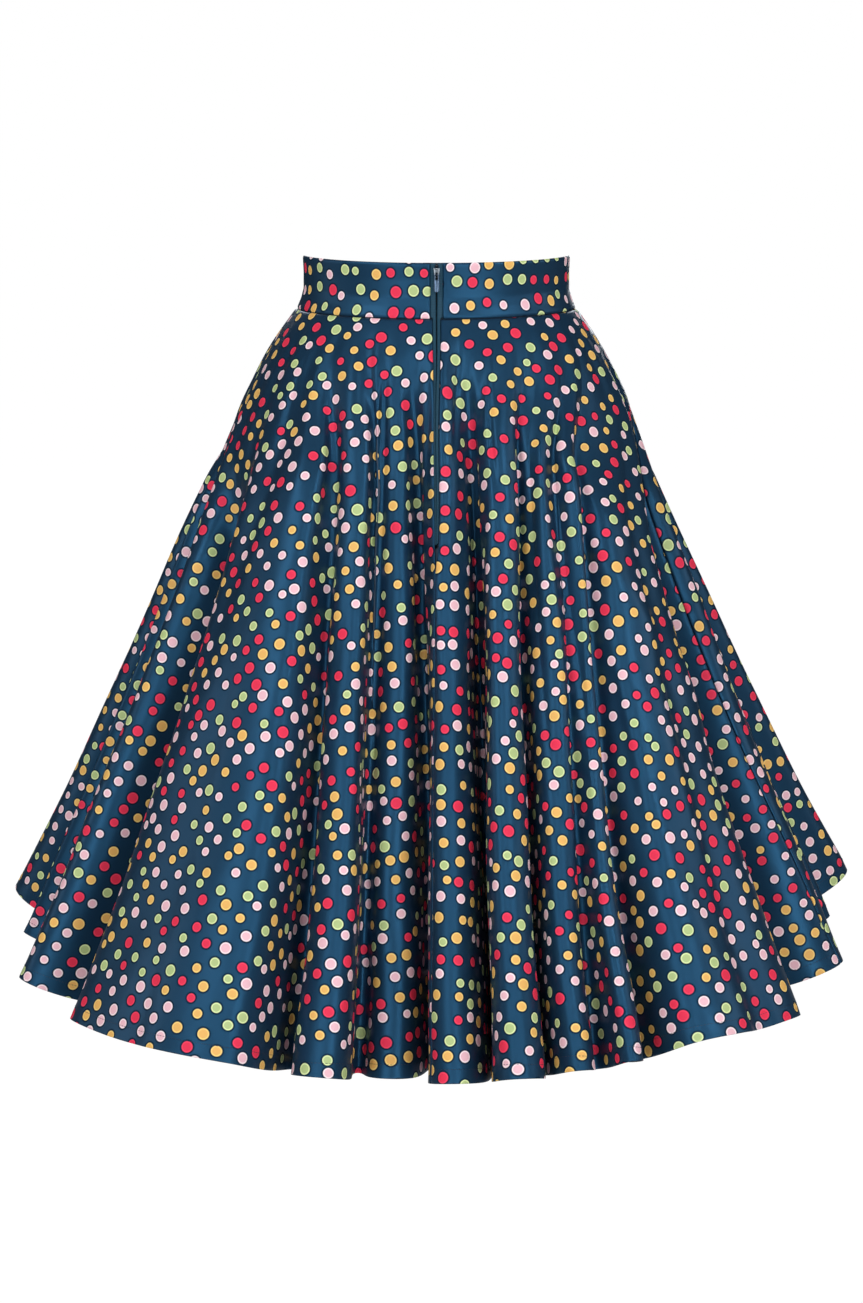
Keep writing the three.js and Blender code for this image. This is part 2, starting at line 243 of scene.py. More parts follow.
world = bpy.data.worlds.new("studio")
bpy.context.scene.world = world
sky = Finish("studio", world)
seen = sky.node("ShaderNodeLightPath", output="Is Camera Ray")
strength = seen * (PAPER_SEEN - SKY_LIGHT) + SKY_LIGHT
around = sky.node("ShaderNodeBackground", None, {"Color": (1, 1, 1, 1), "Strength": strength})
sky.node("ShaderNodeOutputWorld", None, {"Surface": around})
bpy.context.scene.view_settings.view_transform = "Standard"
print("floor and world are set")

# %% [markdown]
# The print is small round dots in four colours on dark teal navy, scattered evenly but not in rows. A
# Voronoi texture gives just that: each cell has one point near its middle, the distance to it makes the
# disc, and the cell's random colour picks the dot's size and ink. A second one gives half the way to the
# nearest other point, so that no two dots ever touch. All is measured in metres on the flat cloth, which
# the pieces carry as a UV map called cut. Each disc has a paler rim and stands in a thin dark outline.

# %% Print sizes
DOT_PITCH = 0.0170
DOT_JITTER = 0.46
DOT_SMALL = 0.0036
DOT_LARGE = 0.0051
DOT_APART = 0.82
RIM = 0.0010
OUTLINE = 0.0016
SOFT_EDGE = 0.00022
NAVY = srgb(24, 49, 71)
NAVY_DEEP = srgb(19, 41, 61)
NAVY_DARK = srgb(2, 6, 18)
SHEEN_TINT = srgb(96, 188, 255)
PINK, PINK_RIM = srgb(242, 190, 198), srgb(255, 234, 236)
AMBER, AMBER_RIM = srgb(238, 182, 90), srgb(255, 216, 122)
RED, RED_RIM = srgb(234, 42, 66), srgb(250, 60, 84)
GREEN, GREEN_RIM = srgb(184, 200, 130), srgb(226, 240, 172)
INK_SHARES = (0.0, 0.31, 0.55, 0.80)
THREADS_PER_METRE = 2600


# %% Printed sateen
def dots(finish, place):
    """The dot mask, the core mask, the outline mask and the ink's share for a place on the flat cloth."""
    grid = {"Vector": place, "Scale": 1 / DOT_PITCH, "Randomness": DOT_JITTER}
    nearest = {"voronoi_dimensions": "2D", "feature": "F1"}
    apart = {"voronoi_dimensions": "2D", "feature": "N_SPHERE_RADIUS"}
    distance = finish.node("ShaderNodeTexVoronoi", nearest, grid, output="Distance") * DOT_PITCH
    chance = finish.node("ShaderNodeTexVoronoi", nearest, grid, output="Color")
    room = finish.node("ShaderNodeTexVoronoi", apart, grid, output="Radius") * (DOT_PITCH * DOT_APART)
    size = finish.node("ShaderNodeSeparateColor", None, {"Color": chance}, output="Red")
    ink = finish.node("ShaderNodeSeparateColor", None, {"Color": chance}, output="Green")
    inside = (size * (DOT_LARGE - DOT_SMALL) + DOT_SMALL).least(room) - distance
    disc = inside.step(-SOFT_EDGE, SOFT_EDGE)
    core = inside.step(RIM - SOFT_EDGE * 2, RIM + SOFT_EDGE * 2)
    halo = inside.step(-OUTLINE - SOFT_EDGE, -OUTLINE + SOFT_EDGE * 2)
    return disc, core, halo, ink


def inks(finish, share, colours):
    """One of four inks, by the cell's share."""
    stops = list(zip(INK_SHARES, colours))
    return finish.node("ShaderNodeValToRGB", {"stops": stops}, {"Fac": share}, output="Color")


def weave(finish, place):
    """The fine diagonal ribs of sateen, from 0 to 1."""
    x, y = finish.axis(place, "X"), finish.axis(place, "Y")
    rib = ((x * 0.9 + y * 0.4) * (THREADS_PER_METRE * math.tau)).sine()
    float_thread = ((y * 0.9 - x * 0.4) * (THREADS_PER_METRE * math.tau / 4)).sine()
    return (rib * 0.7 + float_thread * 0.3) * 0.5 + 0.5


def printed_sateen():
    finish = Finish("printed_sateen")
    place = finish.flat_place()
    disc, core, halo, ink = dots(finish, place)
    body = inks(finish, ink, (PINK, AMBER, RED, GREEN))
    rim = inks(finish, ink, (PINK_RIM, AMBER_RIM, RED_RIM, GREEN_RIM))
    cloud = finish.node("ShaderNodeTexNoise", {"noise_dimensions": "2D"}, {"Vector": place, "Scale": 9.0})
    ground = finish.mix(cloud, NAVY, NAVY_DEEP)
    ground = finish.mix(halo, ground, NAVY_DARK)
    colour = finish.mix(disc, ground, finish.mix(core, rim, body))
    grain = weave(finish, place)
    dull = grain * 0.05 + cloud * 0.06 + halo * 0.35 + 0.33
    return finish.shade(
        Base_Color=colour, Roughness=dull, Normal=finish.bump(grain, 0.12, 0.00008),
        Specular_IOR_Level=0.85, Specular_Tint=SHEEN_TINT,
    )


def plain_inside():
    """The unprinted back of the cloth, duller and a little paler."""
    finish = Finish("cloth_inside")
    place = finish.flat_place()
    cloud = finish.node("ShaderNodeTexNoise", {"noise_dimensions": "2D"}, {"Vector": place, "Scale": 60.0})
    colour = finish.mix(cloud, srgb(40, 58, 76), srgb(50, 70, 90))
    grain = weave(finish, place)
    bump = finish.bump(grain, 0.2, 0.0001)
    return finish.shade(Base_Color=colour, Roughness=grain * 0.1 + 0.7, Normal=bump)


SATEEN = printed_sateen()
INSIDE = plain_inside()
smallest, largest = DOT_SMALL * 2000, DOT_LARGE * 2000
print(f"print: dots {smallest:.0f} to {largest:.0f} mm across, {DOT_PITCH * 1000:.0f} mm apart")

# %% [markdown]
# The cloth's form repeats the one of the solids, with the same named sizes: an oval waist, a wider oval
# that the hem swings about, and a table of folds. Each fold gives four control points of the hem, the two
# shoulders of its ridge and of its valley, and a closed cubic spline runs through them all.

# %% Sizes of the cloth
RIM_HEIGHT = 0.015
BAND_DEPTH = 0.048
SLANT = 0.667
SEAM_GAP = 0.0003
SEAM_OVAL = (0.1302, 0.1000)
BELL_OVAL = (0.402, 0.376)
FRONT_DIP = 0.020
DIP_ROUNDING = 0.25
HIP_FULLNESS = 0.5
FOLD_GROWTH = 0.22
STEEPEST = 0.3
ZIP_END = 0.31
GAP_END = 0.36
BAND_GAP = 0.0058
SKIRT_GAP = 0.0037
BAND_ROWS = np.array([
    # below the rim, half width, half depth
    (0.000, 0.1232, 0.0936),
    (0.015, 0.1226, 0.0930),
    (0.030, 0.1229, 0.0933),
    (0.039, 0.1254, 0.0956),
    (BAND_DEPTH, 0.1294, 0.0993),
])
FOLDS = np.array([
    (1.8, 0.394, 0.034, 11.2, 0.284, 0.008, -0.05, 0.002),
    (9.2, 0.428, 0.039, 14.2, 0.326, 0.008, -0.04, 0.020),
    (16.2, 0.424, 0.021, 20.4, 0.384, 0.008, 0.0, 0.030),
    (22.0, 0.440, 0.016, 26.2, 0.374, 0.008, 0.0, 0.036),
    (32.0, 0.448, 0.038, 39.5, 0.436, 0.016, 0.10, 0.034),
    (46.6, 0.438, 0.036, 58.0, 0.256, 0.008, 0.12, 0.030),
    (67.5, 0.414, 0.044, 81.0, 0.298, 0.012, 0.10, 0.014),
    (87.5, 0.394, 0.014, 91.5, 0.332, 0.010, 0.10, 0.006),
    (98.8, 0.429, 0.034, 109.0, 0.290, 0.012, 0.08, 0.0),
    (121.0, 0.410, 0.042, 134.5, 0.308, 0.014, 0.02, 0.0),
    (145.5, 0.394, 0.026, 154.5, 0.300, 0.012, 0.05, 0.0),
    (166.5, 0.388, 0.036, 179.0, 0.292, 0.012, 0.0, 0.0),
    (190.5, 0.384, 0.028, 200.5, 0.300, 0.012, 0.04, 0.0),
    (212.0, 0.400, 0.044, 226.5, 0.296, 0.012, 0.01, 0.0),
    (238.0, 0.410, 0.030, 249.5, 0.298, 0.012, 0.08, 0.0),
    (264.5, 0.432, 0.040, 274.0, 0.328, 0.010, 0.08, 0.0),
    (278.0, 0.410, 0.012, 283.0, 0.298, 0.010, 0.14, 0.0),
    (297.5, 0.434, 0.036, 303.6, 0.282, 0.008, 0.18, -0.012),
    (312.0, 0.434, 0.030, 323.5, 0.440, 0.014, 0.06, -0.022),
    (333.8, 0.446, 0.050, 338.6, 0.334, 0.010, 0.02, -0.028),
    (345.6, 0.404, 0.036, 346.8, 0.306, 0.008, -0.03, -0.026),
    (353.4, 0.336, 0.024, 0.0, 0.262, 0.008, -0.04, -0.010),
])


# %% The hem's curve from above
def smooth(x):
    share = np.clip(x, 0, 1)
    return share * share * (3 - 2 * share)


def on_oval(oval, angle):
    return np.stack([oval[0] * np.sin(angle), -oval[1] * np.cos(angle)], axis=-1)


def shoulders(angle, radius, half):
    turn = np.radians(angle)
    middle = radius * np.array([np.sin(turn), -np.cos(turn)])
    along = np.array([np.cos(turn), np.sin(turn)])
    return [middle - half * along, middle + half * along]


CONTROLS = np.array([point for row in FOLDS for point in shoulders(*row[:3]) + shoulders(*row[3:6])])
STARTS = np.repeat(FOLDS[:, 6], 4)
LEANS = np.repeat(FOLDS[:, 7], 4)


def spline(values, at):
    """The closed even cubic spline through values, at places counted in controls."""
    span = np.floor(at).astype(int)
    x = at - span
    weights = [(1 - x) ** 3, 3 * x**3 - 6 * x**2 + 4, -3 * x**3 + 3 * x**2 + 3 * x + 1, x**3]
    parts = [values[(span + k - 1) % len(values)] for k in range(4)]
    return sum(w.reshape(w.shape + (1,) * (p.ndim - w.ndim)) * p for w, p in zip(weights, parts)) / 6


def lengths(points):
    steps = np.linalg.norm(np.diff(points, axis=0), axis=1)
    return np.concatenate([[0], np.cumsum(steps)])


table_at = np.linspace(0, len(CONTROLS), len(CONTROLS) * 16 + 1)
hem_lengths = lengths(spline(CONTROLS, table_at))
HEM_ROUND = hem_lengths[-1]
table_angle = np.linspace(0, math.tau, 1441)
seam_lengths = lengths(on_oval(SEAM_OVAL, table_angle))
SEAM_ROUND = seam_lengths[-1]
print(f"seam {SEAM_ROUND:.3f} m round, hem {HEM_ROUND:.3f} m round with {len(FOLDS)} folds")

# %% [markdown]
# Every thread that runs straight down has the same length, so where a fold swings far out its hem is
# lifted. A thread is followed from the seam in short steps: each step goes out as the form says, and what
# is left of its length goes down. Some folds lean: higher up they lie beside the threads that they have at
# the hem. A thread's place is therefore read a little to the side there.


# %% The threads of the cloth
FALL_STEPS = 200
LEAN_ROUNDS = 8


def seam_angle(share):
    return np.interp(np.mod(share, 1) * SEAM_ROUND, seam_lengths, table_angle)


def hem_place(share):
    """Where on the hem's curve a share of its length lies, counted in controls."""
    return np.interp(np.mod(share, 1) * HEM_ROUND, hem_lengths, table_at)


def dip(angle):
    """The waist is level at the back and sides and sinks softly towards the front."""
    front = -np.cos(angle)
    return FRONT_DIP * (np.sqrt(front**2 + DIP_ROUNDING**2) + front) / 2


def form(angle, at, down):
    """Places from above for threads that start at an angle and end at a place of the hem's curve."""
    spread = (down + HIP_FULLNESS * down * (1 - down) ** 4)[..., None]
    opening = smooth((down - spline(STARTS, at)) / FOLD_GROWTH)[..., None]
    plain = on_oval(BELL_OVAL, angle)[:, None]
    foot = plain + (spline(CONTROLS, at) - plain) * opening
    return on_oval(SEAM_OVAL, angle)[:, None] * (1 - spread) + foot * spread


def threads(share):
    """Points down the cloth for each share of the way round: an array of shares by steps by 3."""
    angle = seam_angle(share)
    down = np.linspace(0, 1, FALL_STEPS + 1)[None, :]
    straight = hem_place(share)[:, None]
    step = ((SLANT - dip(angle)) / FALL_STEPS)[:, None]
    out = np.sum(np.diff(form(angle, straight + 0 * down, down), axis=1) ** 2, axis=2)
    drop = np.sqrt(np.maximum(step**2 - out, (STEEPEST * step) ** 2))
    top = RIM_HEIGHT - BAND_DEPTH - SEAM_GAP - dip(angle)
    height = top[:, None] - np.concatenate([np.zeros((len(share), 1)), np.cumsum(drop, axis=1)], axis=1)
    at = straight
    for _ in range(LEAN_ROUNDS):
        at = hem_place(share[:, None] - spline(LEANS, at) * (1 - down))
    return np.concatenate([form(angle, at, down), height[..., None]], axis=2)


# %% [markdown]
# A fine table of threads is worked out once. Any place on the cloth is then read from it, by its share of
# the way round and its share of the way down. The table's columns are closer where the folds are tight.


# %% Places on the cloth
CLOTH_COLUMNS = 3600
table_share = hem_lengths / HEM_ROUND
table_even = (table_at / len(CONTROLS) + table_share) / 2
even = np.linspace(0, 1, CLOTH_COLUMNS + 1)
COLUMN_SHARES = np.interp(even, table_even, table_share)
CLOTH = threads(COLUMN_SHARES)


def between(low, high, part):
    return low + (high - low) * part[..., None]


def bare_surface(share, down):
    """Points of the cloth before its small creases."""
    column = np.interp(np.mod(share, 1), COLUMN_SHARES, even) * CLOTH_COLUMNS
    row = np.clip(down, 0, 1) * FALL_STEPS
    i = np.minimum(np.floor(column).astype(int), CLOTH_COLUMNS - 1)
    k = np.minimum(np.floor(row).astype(int), FALL_STEPS - 1)
    left = between(CLOTH[i, k], CLOTH[i, k + 1], row - k)
    right = between(CLOTH[i + 1, k], CLOTH[i + 1, k + 1], row - k)
    return between(left, right, column - i)


def band_surface(share, down):
    """The same for the waistband; down goes from 0 at the rim to 1 at the seam."""
    depth = np.clip(down, 0, 1) * BAND_DEPTH
    half_width = np.interp(depth, BAND_ROWS[:, 0], BAND_ROWS[:, 1])
    half_depth = np.interp(depth, BAND_ROWS[:, 0], BAND_ROWS[:, 2])
    angle = seam_angle(share)
    height = RIM_HEIGHT - depth - dip(angle)
    return np.stack([half_width * np.sin(angle), -half_depth * np.cos(angle), height], axis=-1)


def unit(vectors):
    return vectors / np.linalg.norm(vectors, axis=-1, keepdims=True)


def outward(surface, share, down):
    """Which way the cloth faces at each place."""
    round_step, down_step = 0.0004, 0.006
    across = surface(share + round_step, down) - surface(share - round_step, down)
    below = surface(share, np.minimum(down + down_step, 1))
    above = surface(share, np.maximum(down - down_step, 0))
    return unit(np.cross(below - above, across))


# %% [markdown]
# The large folds alone look like a metal bell. Real sateen also has small soft creases: narrow troughs that
# begin just below the waist seam and run into the deep folds, and little rolls beside them. They are listed
# one by one and drift across the threads as they go down. Each lifts or sinks the cloth by a few
# millimetres and fades out at both ends. A slight unevenness lies over them all.

# %% Small creases
CREASES = np.array([
    # share of the way round at its top, from, to, drift in share, half width in share, height in metres
    (0.0012, 0.29, 0.62, 0.0050, 0.0015, 0.0022),
    (0.0270, 0.02, 0.26, -0.0200, 0.0030, -0.0026),
    (0.0260, 0.12, 0.62, -0.0190, 0.0038, 0.0028),
    (0.0370, 0.08, 0.60, 0.0020, 0.0045, -0.0042),
    (0.0560, 0.06, 0.34, 0.0240, 0.0035, -0.0026),
    (0.0860, 0.03, 0.46, -0.0060, 0.0060, 0.0020),
    (0.1320, 0.10, 0.72, -0.0260, 0.0055, -0.0036),
    (0.1430, 0.12, 0.80, -0.0340, 0.0040, 0.0030),
    (0.1540, 0.14, 0.86, -0.0320, 0.0042, -0.0034),
    (0.1640, 0.40, 1.12, -0.0160, 0.0036, -0.0030),
    (0.1230, 0.02, 0.94, 0.1250, 0.0080, 0.0030),
    (0.2150, 0.03, 0.52, 0.0120, 0.0080, -0.0024),
    (0.2620, 0.03, 0.50, 0.0040, 0.0090, -0.0024),
    (0.2860, 0.12, 0.78, -0.0060, 0.0060, 0.0022),
    (0.3300, 0.33, 1.10, -0.0040, 0.0040, -0.0028),
    (0.3710, 0.02, 0.42, 0.0060, 0.0070, -0.0030),
    (0.4050, 0.10, 0.66, 0.0080, 0.0060, 0.0024),
    (0.4330, 0.06, 0.55, 0.0050, 0.0090, -0.0030),
    (0.4610, 0.03, 0.30, -0.0080, 0.0045, 0.0020),
    (0.4860, 0.05, 0.62, -0.0030, 0.0070, -0.0028),
    (0.5210, 0.22, 0.96, 0.0060, 0.0050, 0.0026),
    (0.5480, 0.02, 0.48, 0.0040, 0.0080, -0.0030),
    (0.5890, 0.08, 0.38, 0.0080, 0.0040, -0.0022),
    (0.6120, 0.05, 0.60, -0.0050, 0.0090, 0.0026),
    (0.6670, 0.03, 0.44, 0.0030, 0.0070, -0.0030),
    (0.7010, 0.18, 0.82, -0.0080, 0.0050, 0.0024),
    (0.7240, 0.05, 0.50, 0.0050, 0.0080, -0.0026),
    (0.7810, 0.04, 0.46, -0.0040, 0.0070, -0.0026),
    (0.8200, 0.10, 0.56, -0.0080, 0.0060, 0.0022),
    (0.8580, 0.04, 0.58, -0.0130, 0.0050, -0.0032),
    (0.8700, 0.05, 0.40, -0.0060, 0.0045, 0.0022),
    (0.8900, 0.05, 0.50, -0.0030, 0.0060, -0.0040),
    (0.9190, 0.06, 0.44, -0.0020, 0.0050, 0.0024),
    (0.9490, 0.04, 0.46, -0.0250, 0.0042, -0.0042),
    (0.9570, 0.05, 0.52, -0.0010, 0.0050, 0.0030),
    (0.9610, 0.54, 1.12, 0.0000, 0.0040, -0.0030),
    (0.9710, 0.16, 0.74, 0.0000, 0.0045, -0.0042),
    (0.9850, 0.05, 0.50, -0.0010, 0.0040, 0.0020),
])
SWELLS = [
    # waves round the skirt, waves down it, phase, height in metres
    (19, 1.7, 0.4, 0.0007),
    (31, -2.3, 2.1, 0.0005),
    (53, 3.9, 4.4, 0.0003),
]
CREASE_SKEW = 0.75
SWELLS_START = 0.08
SWELLS_END = 0.03


def relief(share, down):
    """How far the small creases and the unevenness lift the cloth."""
    lift = np.zeros_like(share)
    for middle, start, end, drift, half, height in CREASES:
        part = np.clip((down - start) / (end - start), 0, 1)
        away = np.abs(np.mod(share - middle - drift * part + 0.5, 1) - 0.5) / half
        lift += height * np.sin(math.pi * part**CREASE_SKEW) ** 2 * np.exp(-away**2)
    ends = smooth(down / SWELLS_START) * smooth((1 - down) / SWELLS_END)
    for round_waves, down_waves, phase, height in SWELLS:
        lift += ends * height * np.sin(math.tau * (round_waves * share + down_waves * down) + phase)
    return lift


def skirt_surface(share, down):
    """Points of the finished cloth."""
    facing = outward(bare_surface, share, down)
    return bare_surface(share, down) + facing * relief(share, down)[..., None]


print(f"{len(CREASES)} small creases, up to {np.abs(CREASES[:, 5]).max() * 1000:.1f} mm")

# %% [markdown]
# A sheet starts as Blender's own grid. Its vertices already lie in columns and rows, so each is laid on the
# cloth's point of the same column and row, and takes the UV place that is given for it. The left edge of
# the grid is the start of the way round and its top is the waist, which leaves the faces pointing outwards.


# %% Sheets from grids
def lay_grid(name, points, cut):
    """A sheet through points (columns by rows by 3) with the UV map cut, and each vertex's row."""
    columns, rows = points.shape[:2]
    bpy.ops.object.select_all(action="DESELECT")
    bpy.ops.mesh.primitive_grid_add(x_subdivisions=columns - 1, y_subdivisions=rows - 1, size=2)
    piece = bpy.context.object
    piece.name = name
    mesh = piece.data
    flat = np.empty(len(mesh.vertices) * 3)
    mesh.vertices.foreach_get("co", flat)
    flat = flat.reshape(-1, 3)
    i = np.rint((flat[:, 0] + 1) / 2 * (columns - 1)).astype(int)
    j = np.rint((1 - flat[:, 1]) / 2 * (rows - 1)).astype(int)
    mesh.vertices.foreach_set("co", points[i, j].ravel())
    corner = np.empty(len(mesh.loops), dtype=int)
    mesh.loops.foreach_get("vertex_index", corner)
    mesh.uv_layers.active.name = "cut"
    mesh.uv_layers["cut"].data.foreach_set("uv", cut[i[corner], j[corner]].ravel())
    mesh.update()
    bpy.ops.object.shade_smooth()
    return piece, j


def apply(piece, kind, **settings):
    """Adds a modifier, sets it and applies it."""
    bpy.context.view_layer.objects.active = piece
    modifier = piece.modifiers.new(kind.lower(), kind)
    for key, value in settings.items():
        setattr(modifier, key, value)
    bpy.ops.object.modifier_apply(modifier=modifier.name)


def area_of(points):
    """The area of a grid of points."""
    across = np.diff(points, axis=0)
    along = np.diff(points, axis=1)
    first = np.linalg.norm(np.cross(across[:, :-1], along[:-1]), axis=2)
    second = np.linalg.norm(np.cross(across[:, 1:], along[1:]), axis=2)
    return (first.sum() + second.sum()) / 2


def triangles(piece):
    return sum(len(face.vertices) - 2 for face in piece.data.polygons)


# %% [markdown]
# The print lies on the flat cloth, so a panel's UV map has to be the flat panel. Blender's unwrap finds it.
# Its conformal method keeps every small angle, so that a round dot stays round wherever the folds lean or
# widen. Its minimum-stretch method evens the dots' size as well, but takes ten seconds for a back panel, so
# the large front goes without. The map is then scaled until it has the panel's own area, in square metres.


# %% Unwrapping at real size
UNWRAP_EVENLY = {"method": "MINIMUM_STRETCH", "iterations": 12, "no_flip": False}
UNWRAP_QUICKLY = {"method": "CONFORMAL"}


def lay_flat(piece, area, start, settings):
    """Unwraps a sheet of quads, in metres, and moves it to its own stretch of the print."""
    bpy.context.view_layer.objects.active = piece
    bpy.ops.object.mode_set(mode="EDIT")
    bpy.ops.mesh.select_all(action="SELECT")
    bpy.ops.uv.unwrap(margin=0, **settings)
    bpy.ops.object.mode_set(mode="OBJECT")
    layer = piece.data.uv_layers["cut"].data
    flat = np.empty(len(layer) * 2)
    layer.foreach_get("uv", flat)
    quads = flat.reshape(-1, 4, 2)
    one, other = quads[:, 2] - quads[:, 0], quads[:, 3] - quads[:, 1]
    found = abs(np.sum(one[:, 0] * other[:, 1] - one[:, 1] * other[:, 0])) / 2
    layer.foreach_set("uv", (quads * math.sqrt(area / found) + start).ravel())


# %% [markdown]
# The skirt is cut as a ring. Its inner edge is the waist seam and its outer edge the hem, so the flat cut
# is known as soon as both lengths and the slant are: it is very nearly a full circle. Three panels share
# the ring: the front takes half, and the backs a quarter each. The print runs straight over the flat cloth,
# and each panel was laid on another stretch of it, so the dots don't meet at the seams.

# %% The flat cut
PANELS = [
    # name, from, to, where its print starts
    ("back_right", 0.0, 0.25, (0.013, 0.007)),
    ("front", 0.25, 0.75, (2.101, 0.308)),
    ("back_left", 0.75, 1.0, (4.207, 0.611)),
]


# %% [markdown]
# Along a seam the cloth is turned in, so its edge rolls down over a couple of millimetres. That roll is
# what makes a seam read as a seam. The grid needs a few columns close to each edge to carry it, and the hem
# a few rows. At the centre back the two panels part to show the zip, and meet again below it.

# %% Panels
PANEL_COLUMNS = 800
PANEL_ROWS = 92
EDGE_STEPS = np.array([0.0, 0.001, 0.002, 0.004, 0.007, 0.011, 0.016])
TOP_STEPS = np.array([0.0, 0.0004, 0.001, 0.002, 0.0035])
EDGE_CLEAR = 1.3
HEM_TURN = 0.013
HEM_MARGIN = 0.0004
HEM_BEND = 0.0008
HEM_LIP = 0.0012
CLOTH_WALL = 0.0008
HEM_WALL = 0.0020
ROLL_REACH = 0.0024
ROLL_DEPTH = 0.0011


def with_edges(start, end, middle, steps):
    """The columns of a piece: close steps at both edges, and its own where they are clear of them."""
    clear = steps[-1] * EDGE_CLEAR
    inner = middle[(middle > start + clear) & (middle < end - clear)]
    return np.concatenate([start + steps, inner, end - steps[::-1]])


def columns_between(start, end):
    """Shares of the way round, closer at tight folds and at both edges."""
    low, high = np.interp([start, end], COLUMN_SHARES, even)
    count = int(PANEL_COLUMNS * (high - low))
    middle = np.interp(np.linspace(low, high, count + 1), even, COLUMN_SHARES)
    return with_edges(start, end, middle, EDGE_STEPS / HEM_ROUND)


def skirt_rows():
    """Shares of the slant, closer at the waist seam and at the turned hem."""
    top = TOP_STEPS / SLANT
    turn = 1 - HEM_TURN / SLANT
    middle = np.linspace(top[-1], turn, PANEL_ROWS)[1:-1]
    hem = [turn - HEM_BEND, turn, turn + HEM_BEND, (1 + turn) / 2, 1 - HEM_LIP, 1]
    return np.concatenate([top, middle, hem])


def edge_gap(edge, down, zip_gap):
    """Half the gap at a panel's edge: the zip's, closing to a plain seam below it."""
    if edge % 1 != 0:
        return np.full_like(down, SEAM_GAP / 2)
    share = smooth((down - ZIP_END) / (GAP_END - ZIP_END))
    return zip_gap + (SEAM_GAP / 2 - zip_gap) * share


def scale_at(surface, share, down):
    """Metres for a whole share, measured about one place in each row."""
    step = 0.001
    here = np.full_like(down, share)
    return np.linalg.norm(surface(here + step, down) - surface(here - step, down), axis=-1) / (2 * step)


def squeeze(shares, rows, zip_gap, scales):
    """The shares of a piece's columns in each row, so that its ends leave the gaps."""
    start, end = shares[0], shares[-1]
    low = start + edge_gap(start, rows, zip_gap) / scales[0]
    high = end - edge_gap(end, rows, zip_gap) / scales[1]
    part = (shares - start) / (end - start)
    return low[None] + (high - low)[None] * part[:, None]


def roll(distance):
    """How far the cloth is turned in at this distance from its seam."""
    return ROLL_DEPTH * np.clip(1 - distance / ROLL_REACH, 0, 1) ** 2


def across_lengths(points):
    """Each point's distance along its row from the nearer end of the row."""
    steps = np.linalg.norm(np.diff(points, axis=0), axis=2)
    run = np.concatenate([np.zeros((1, points.shape[1])), np.cumsum(steps, axis=0)])
    return np.minimum(run, run[-1] - run)


def facing_of(points):
    return unit(np.cross(np.gradient(points, axis=1), np.gradient(points, axis=0)))


def rolled(points, to_seam):
    """Points of a piece, turned in at its ends and by their distance from its other seams."""
    turned_in = np.maximum(roll(across_lengths(points)), roll(to_seam))
    return points - facing_of(points) * turned_in[..., None]


def printed_outside(piece):
    """The print on the first material slot and the plain inside on the second."""
    piece.data.materials.append(SATEEN)
    piece.data.materials.append(INSIDE)


def skirt_panel(name, start, end, print_start):
    rows = skirt_rows()
    scales = [scale_at(skirt_surface, edge, rows) for edge in (start, end)]
    share = squeeze(columns_between(start, end), rows, SKIRT_GAP, scales)
    down = np.broadcast_to(rows, share.shape)
    points = rolled(skirt_surface(share, down), down * SLANT)
    made = area_of(points)
    panel, j = lay_grid(f"panel_{name}", points, np.stack([share, down], axis=-1))
    lay_flat(panel, made, print_start, UNWRAP_QUICKLY if name == "front" else UNWRAP_EVENLY)
    hem = panel.vertex_groups.new(name="hem")
    in_hem = np.flatnonzero(down[0][j] > 1 - (HEM_TURN + HEM_MARGIN) / SLANT)
    hem.add(in_hem.tolist(), 1.0, "REPLACE")
    printed_outside(panel)
    apply(
        panel, "SOLIDIFY", thickness=HEM_WALL, offset=-1, vertex_group="hem",
        thickness_vertex_group=CLOTH_WALL / HEM_WALL, material_offset=1, material_offset_rim=0,
    )
    panel.vertex_groups.clear()
    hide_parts(f"skirt_{name}")
    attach(panel, "skirt")


for name, start, end, print_start in PANELS:
    skirt_panel(name, start, end, print_start)

# %% [markdown]
# The waistband is two layers with a stiff strip between them, so it stands smooth and a little thick. It is
# shaped by its cut: straight through the waist, flaring to the seam. Its rim and its ends at the centre
# back are folds, so they are rolled in like the seams.

# %% Waistband
BAND_WALL = 0.0019
BAND_COLUMNS = 320
BAND_STEPS = np.array([0.0, 0.00025, 0.0006, 0.0011, 0.0018, 0.0028])
BAND_MIDDLE = np.linspace(0.0045, BAND_DEPTH - 0.0045, 22)
BAND_PRINT = (0.4, 0.9)


def band_panel(name, start, end, print_start):
    middle = np.linspace(start, end, int(BAND_COLUMNS * (end - start)) + 1)
    shares = with_edges(start, end, middle, BAND_STEPS / SEAM_ROUND)
    rows = np.concatenate([BAND_STEPS, BAND_MIDDLE, BAND_DEPTH - BAND_STEPS[::-1]]) / BAND_DEPTH
    share = squeeze(shares, np.zeros_like(rows), BAND_GAP, (SEAM_ROUND, SEAM_ROUND))
    down = np.broadcast_to(rows, share.shape)
    points = rolled(band_surface(share, down), np.minimum(down, 1 - down) * BAND_DEPTH)
    print_x, print_y = np.add(print_start, BAND_PRINT)
    cut = np.stack([share * SEAM_ROUND + print_x, print_y - down * BAND_DEPTH], axis=-1)
    band, _ = lay_grid(f"band_{name}", points, cut)
    printed_outside(band)
    apply(band, "SOLIDIFY", thickness=BAND_WALL, offset=-1, material_offset=1, material_offset_rim=0)
    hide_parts(f"waistband_{name}")
    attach(band, "skirt")


for name, start, end, print_start in PANELS:
    band_panel(name, start, end, print_start)

# %% [markdown]
# The zip is the concealed kind. Each tape is rolled back on itself along its inner edge, which hides the
# coil, so from outside only two ribbed teal rolls show with a dark slit between them. Each tape's section
# is drawn once, as a few steps from the slit to the cloth, and run down the whole of the gap.

